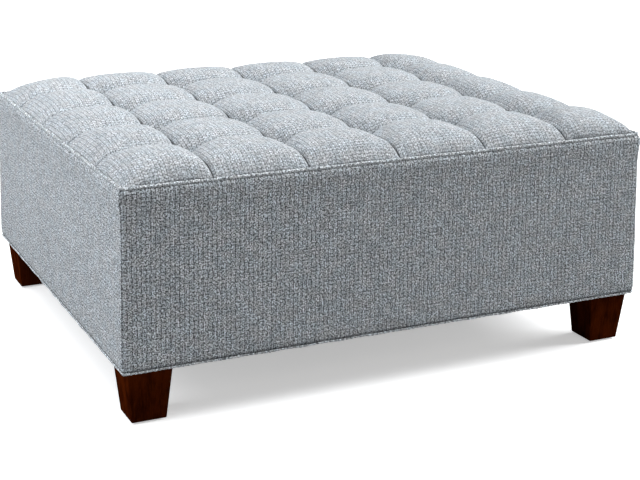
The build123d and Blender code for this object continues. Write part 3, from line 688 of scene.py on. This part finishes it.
def wall(name, angle, half_run, reach, bolt_start):
    """A fabric wall, made as the front one from the middle of one corner to the next, and turned into place."""
    straight = half_run - corner_radius
    bend = np.radians(np.linspace(0, 45, 7))
    run = np.linspace(-straight, straight, int(round(2 * straight / wall_step)) + 1)
    first = np.radians(225) + bend[:-1]
    last = np.radians(270) + bend[1:]
    centre = corner_radius - reach

    def line(radius):
        plan = [(-straight + radius * math.cos(a), centre + radius * math.sin(a)) for a in first]
        plan += [(x, centre - radius) for x in run]
        plan += [(straight + radius * math.cos(a), centre + radius * math.sin(a)) for a in last]
        return np.array(plan)

    outside, inside = line(corner_radius), line(corner_radius - wall_skin + 0.0002)
    away = outside - line(0.0)
    away /= np.linalg.norm(away, axis=1, keepdims=True)
    lengths = np.concatenate([[0], np.cumsum(np.linalg.norm(np.diff(outside, axis=0), axis=1))])
    total = lengths[-1]
    stretches = [np.linspace(*ends, steps + 1)[1:]
                 for *ends, steps in zip(wall_stops, wall_stops[1:], wall_rows)]
    zs = np.concatenate([[wall_foot_z], *stretches])
    rows, columns = len(zs), len(lengths)
    swell = np.tile(wall_swell(zs)[:, None], (1, columns))
    # Gathers under the top seam, small pulls above the foot, and a slow unevenness all over
    top_fade = fading(shoulder_z - zs, gather_fade)[:, None]
    foot_fade = fading(zs - wall_foot_z, foot_pull_fade)[:, None]
    swell += gather * ripple(lengths, total, 7, int(total / 0.022), int(total / 0.011))[None, :] * top_fade
    swell += foot_pull * ripple(lengths, total, 6, int(total / 0.05), int(total / 0.02))[None, :] * foot_fade
    for _ in range(5):
        wave = 2 * math.pi * (random.uniform(-6, 6) * lengths[None, :] + random.uniform(-5, 5) * zs[:, None])
        swell += unevenness * np.sin(wave + random.uniform(0, 2 * math.pi)) * (1 - top_fade) * (1 - foot_fade)
    # The corner seam draws the fabric in a little, with small puckers on either side of it
    for start in (0.0, total):
        gap = np.abs(lengths - start)[None, :]
        swell -= corner_draw * np.exp(-gap / corner_draw_reach)
        pucker = np.sin(2 * math.pi * zs / pucker_pitch + 3 * np.sin(zs * 60) + random.uniform(0, 6))[:, None]
        swell += pucker_height * pucker * np.exp(-gap / pucker_reach) * (1 - np.exp(-gap / 0.002))

    def placed(plan, stand):
        flat = plan[None, :, :] + away[None, :, :] * stand[:, :, None]
        return np.concatenate([flat, np.tile(zs[:, None, None], (1, columns, 1))], axis=2) @ about_z(angle).T

    points, faces = shell(flared(placed(outside, swell)), placed(inside, np.zeros((rows, columns))))
    u = np.tile(lengths[None, :] + bolt_start, (rows, 1))
    v = np.tile(zs[:, None], (1, columns))
    # Painted shade: the fabric darker just under the top welt and in the tuck at the foot
    sewn = 0.4 * bell(shoulder_z - zs, 0.0008) + 0.8 * bell(zs - wall_foot_z, 0.004)
    cloth = np.stack([u, v, np.tile(sewn[:, None], (1, columns))], -1).reshape(-1, 3)
    piece = make_piece(f"{name}_wall_fabric", points, faces, cover, (f"{name}_boxing",),
                       np.concatenate([cloth, cloth]))


padding_inset, padding_depth, padding_unevenness = wall_skin + 0.0003, 0.0058, 0.00018


def padding(name, angle, half_run, reach):
    """The wadding behind a wall: a soft sheet, quilted and a little uneven."""
    low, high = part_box(f"{name}_padding")
    straight = half_run - corner_radius
    run = np.linspace(-straight, straight, 60)
    zs = np.linspace(low.z, high.z, 22)
    uneven = padding_unevenness * (np.sin(run * 90)[None, :] + np.sin(zs * 140)[:, None] - 2)
    across, up = np.meshgrid(run, zs)
    outside = np.stack([across, -reach + padding_inset - uneven, up], -1) @ about_z(angle).T
    back_y = -reach + padding_inset + padding_depth
    inside = np.stack([across, np.full_like(across, back_y), up], -1) @ about_z(angle).T
    points, faces = shell(outside, inside)
    piece = make_piece(f"{name}_padding_sheet", points, faces, wadding, (f"{name}_padding",))


# For each wall: its turn about Z, half length, distance from the middle, and where on the bolt its weave starts
walls = {"front": (0, wall_x, wall_y, 0.0), "right": (90, wall_y, wall_x, 1.3),
         "back": (180, wall_x, wall_y, 2.9), "left": (270, wall_y, wall_x, 4.1)}
for side_name, (angle, half_run, reach, bolt_start) in walls.items():
    padding(side_name, angle, half_run, reach)
    wall(side_name, angle, half_run, reach, bolt_start)


# Inside and underneath
foam_pull, foam_pull_reach, foam_unevenness, foam_rounding = 0.006, 0.03, 0.0012, 0.003
cloth_sag, cloth_wave, cloth_pucker = 0.0022, 0.0005, 0.0004
hem_width, hem_step, hem_thickness = 0.018, 0.0008, 0.0005
held_by_leg, held_by_tie = 0.06, 0.02  # how far from them the dust cloth lies flat


def plan_grid(low, high, columns, rows):
    """Places over a box seen from above, and how far each is from its edge."""
    across, deep = np.meshgrid(np.linspace(low.x, high.x, columns), np.linspace(low.y, high.y, rows))
    edge = np.minimum.reduce([across - low.x, high.x - across, deep - low.y, high.y - deep])
    return across, deep, edge


def foam_slab():
    """The foam, pulled down under the crossings of the seams, with uneven faces and rounded edges."""
    low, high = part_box("foam_pad")
    across, deep, edge = plan_grid(low, high, 73, 61)
    pulled = np.zeros_like(across)
    for x in seams_x:
        for y in seams_y:
            pulled += foam_pull * bell(np.hypot(across - x, deep - y), foam_pull_reach)
    soft = foam_unevenness * (np.sin(across * 31) * np.sin(deep * 27) - 1)
    rounding = foam_rounding * np.exp(-edge / 0.004)
    top = np.stack([across, deep, high.z - pulled + soft - rounding], -1)
    bottom = np.stack([across, deep, np.full_like(across, low.z + 0.0002)], -1)
    points, faces = shell(top, bottom)
    piece = make_piece("foam_slab", points, faces, foam, ("foam_pad",))


foam_slab()


def dust_cloth():
    """Black cloth, folded under at its edge and stapled, slack between the staples, the legs and the tie."""
    low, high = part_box("dust_cover")
    across, deep, edge = plan_grid(low, high, 121, 101)
    free = 1 - fading(edge - 0.012, 0.03)
    for sx in (-1, 1):
        for sy in (-1, 1):
            free *= 1 - bell(np.maximum(np.abs(across - sx * leg_x), np.abs(deep - sy * leg_y)), held_by_leg)
    free *= 1 - 0.9 * bell(across, held_by_tie)
    waves = np.sin(across * 23 + 2 * np.sin(deep * 9)) * np.sin(deep * 19 + across * 7)
    puckers = np.sin(across * 140) * np.sin(deep * 140) * np.exp(-edge / 0.02) * (1 - np.exp(-edge / 0.004))
    slack = cloth_sag * free + cloth_wave * free * waves + cloth_pucker * puckers
    fold = hem_thickness * (1 / (1 + np.exp((edge - hem_width) / hem_step)))
    under = np.stack([across, deep, low.z - slack - fold + 0.0002], -1)
    over = np.stack([across, deep, high.z - slack], -1)
    points, faces = shell(over, under)
    piece = make_piece("dust_cloth", points, faces, black_cloth, ("dust_cover",))


dust_cloth()

staple_inset, staple_spacing, staple_z = 0.0175, 0.04, leg_top_z - 0.0004
staple_half, staple_wire, wire_sides = 0.0055, 0.0006, 8
# From one prong over the crown to the other: along the crown, and up
staple_path = [(-staple_half, 0.0016), (-staple_half, 0.0003), (-staple_half + 0.0007, -0.0002),
               (staple_half - 0.0007, -0.0002), (staple_half, 0.0003), (staple_half, 0.0016)]


def staples():
    """Wire crowns of the staples round the dust cover, fewer beside the legs."""
    line, out, _ = outline(staple_inset, staple_spacing, staple_z)
    points, faces = [], []
    for k, (place, normal) in enumerate(zip(line, out)):
        if k % 2 == 0 and abs(abs(place[0]) - leg_x) < 0.045 and abs(abs(place[1]) - leg_y) < 0.045:
            continue
        along = Vector((-normal[1], normal[0], 0)).normalized()
        along.rotate(Matrix.Rotation(random.uniform(-0.2, 0.2), 3, "Z"))
        side = Vector((-along.y, along.x, 0))
        start = len(points)
        for step, (a, h) in enumerate(staple_path):
            before, after = staple_path[max(step - 1, 0)], staple_path[min(step + 1, len(staple_path) - 1)]
            run = Vector((after[0] - before[0], after[1] - before[1])).normalized()
            for turn in np.linspace(0, 2 * math.pi, wire_sides, endpoint=False):
                offset = side * (staple_wire * math.cos(turn)) + (along * -run.y + Vector((0, 0, run.x))) * (
                    staple_wire * 0.6 * math.sin(turn))
                points.append(Vector(place) + along * a + Vector((0, 0, h)) + offset)
        faces += grid_faces(len(staple_path), wire_sides, start, closed_columns=True)
        faces.append(tuple(start + i for i in range(wire_sides)))
        faces.append(tuple(start + (len(staple_path) - 1) * wire_sides + i for i in range(wire_sides)[::-1]))
    make_piece("dust_cloth_staples", [tuple(p) for p in points], faces, zinc)


staples()

# CAD nodes that stay, with the material for the first of these that is in the node's name
finishes = {"leg_plate_": hardwood, "leg_": espresso, "post_": hardwood, "deck_board": plywood,
            "_panel": plywood, "stretcher": softwood, "t_nuts": zinc, "hanger_bolts": zinc, "_screws": zinc,
            "tuft_twines": twine, "twine_washers": fibre, "glides": nylon}
for node_name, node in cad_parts.items():
    found = [finish for part, finish in finishes.items() if part in node_name]
    if found:
        node.data.materials.clear()
        node.data.materials.append(found[0])

# Stage: a pale floor, soft light, and the camera where the photograph was taken
floor_half = 30.0
floor_bounced, floor_seen = (0.45, 0.45, 0.45), (0.9, 0.9, 0.9)
near_glow, near_reach, far_reach = 0.46, 1.25, 2.1


def floor():
    """The camera sees the floor paler than the light it throws back, and glowing, less near the object and
    whiter away from it: both painted light.
    """
    mesh = bpy.data.meshes.new("floor")
    corners = [(-floor_half, -floor_half, 0), (floor_half, -floor_half, 0),
               (floor_half, floor_half, 0), (-floor_half, floor_half, 0)]
    mesh.from_pydata(corners, [], [(0, 1, 2, 3)])
    made = bpy.data.objects.new("floor", mesh)
    bpy.context.scene.collection.objects.link(made)
    s = Shader("pale_floor")
    seen = s.node("ShaderNodeLightPath").outputs["Is Camera Ray"]
    s.set(Base_Color=s.mix(seen, floor_bounced, floor_seen), Roughness=0.9, Specular_IOR_Level=0.0)
    away = s.node("ShaderNodeVectorMath", {0: s.place()}, operation="LENGTH").outputs[1]
    glow = s.math("MULTIPLY", seen, s.span(away, near_reach, far_reach, near_glow, 1.0))
    s.set(Emission_Color=(1.0, 1.0, 1.0), Emission_Strength=glow)
    mesh.materials.append(s.material)


def softbox(name, place, aim, width, height, power, colour=(1, 1, 1)):
    light = bpy.data.lights.new(name, "AREA")
    light.shape = "RECTANGLE"
    light.size, light.size_y = width, height
    light.energy = power
    light.color = colour
    made = bpy.data.objects.new(name, light)
    bpy.context.scene.collection.objects.link(made)
    made.location = place
    made.rotation_mode = "QUATERNION"
    made.rotation_quaternion = (Vector(place) - Vector(aim)).to_track_quat("Z", "Y")


floor()

# A white world that only the camera sees: all the light on the object comes from the softboxes
world = bpy.data.worlds.new("studio")
bpy.context.scene.world = world
world.use_nodes = True
tree = world.node_tree
background = tree.nodes["Background"]
seen = tree.nodes.new("ShaderNodeLightPath")
level = tree.nodes.new("ShaderNodeMapRange")
level.inputs[3].default_value, level.inputs[4].default_value = 0.0, 1.0
tree.links.new(seen.outputs["Is Camera Ray"], level.inputs[0])
tree.links.new(level.outputs[0], background.inputs["Strength"])
background.inputs["Color"].default_value = (1, 1, 1, 1)

middle, lower_middle = (0, 0, 0.4), (0, 0, 0.35)
key_white, cool_white, warm_white = (0.985, 1.0, 1.01), (0.98, 1.0, 1.03), (1.04, 1.0, 0.97)
softbox("key_right", (8.0, -1.0, 5.4), middle, 4.6, 4.6, 1375, key_white)
softbox("low_right", (8.0, -0.6, 2.4), middle, 4.6, 2.6, 112, key_white)
softbox("overhead", (0, 0, 2.6), middle, 2.0, 1.6, 2.2)
softbox("back_left", (-1.2, 1.1, 2.2), middle, 1.4, 1.4, 38.9)
softbox("front", (0.4, -2.8, 1.6), middle, 1.8, 1.2, 11.7, warm_white)
softbox("left", (-2.4, -0.2, 1.7), middle, 1.4, 1.2, 40.1, cool_white)
softbox("low_left", (-2.6, -0.1, 0.75), lower_middle, 1.6, 0.7, 8.6, cool_white)

view = bpy.data.cameras.new("camera")
view.sensor_width = 36.0
focal_pixels, frame_width, frame_height, principal_y = 1409.2, 640.0, 480.0, 176.0
view.lens = focal_pixels / frame_width * view.sensor_width
view.shift_y = (principal_y - frame_height / 2) / frame_width
view.clip_start, view.clip_end = 0.05, 200.0
camera = bpy.data.objects.new("camera", view)
bpy.context.scene.collection.objects.link(camera)
yaw, pitch, roll = math.radians(25.496), math.radians(14.671), math.radians(0.626)
ahead = Vector((math.sin(yaw) * math.cos(pitch), math.cos(yaw) * math.cos(pitch), -math.sin(pitch)))
right = Vector((math.cos(yaw), -math.sin(yaw), 0))
up = right.cross(ahead)
turned_right = math.cos(roll) * right + math.sin(roll) * up
turned_up = -math.sin(roll) * right + math.cos(roll) * up
camera.matrix_world = Matrix((turned_right, turned_up, -ahead)).transposed().to_4x4()
camera.location = (-1.2005, -2.6126, 1.0466)
bpy.context.scene.camera = camera
bpy.context.scene.view_settings.view_transform = "Standard"
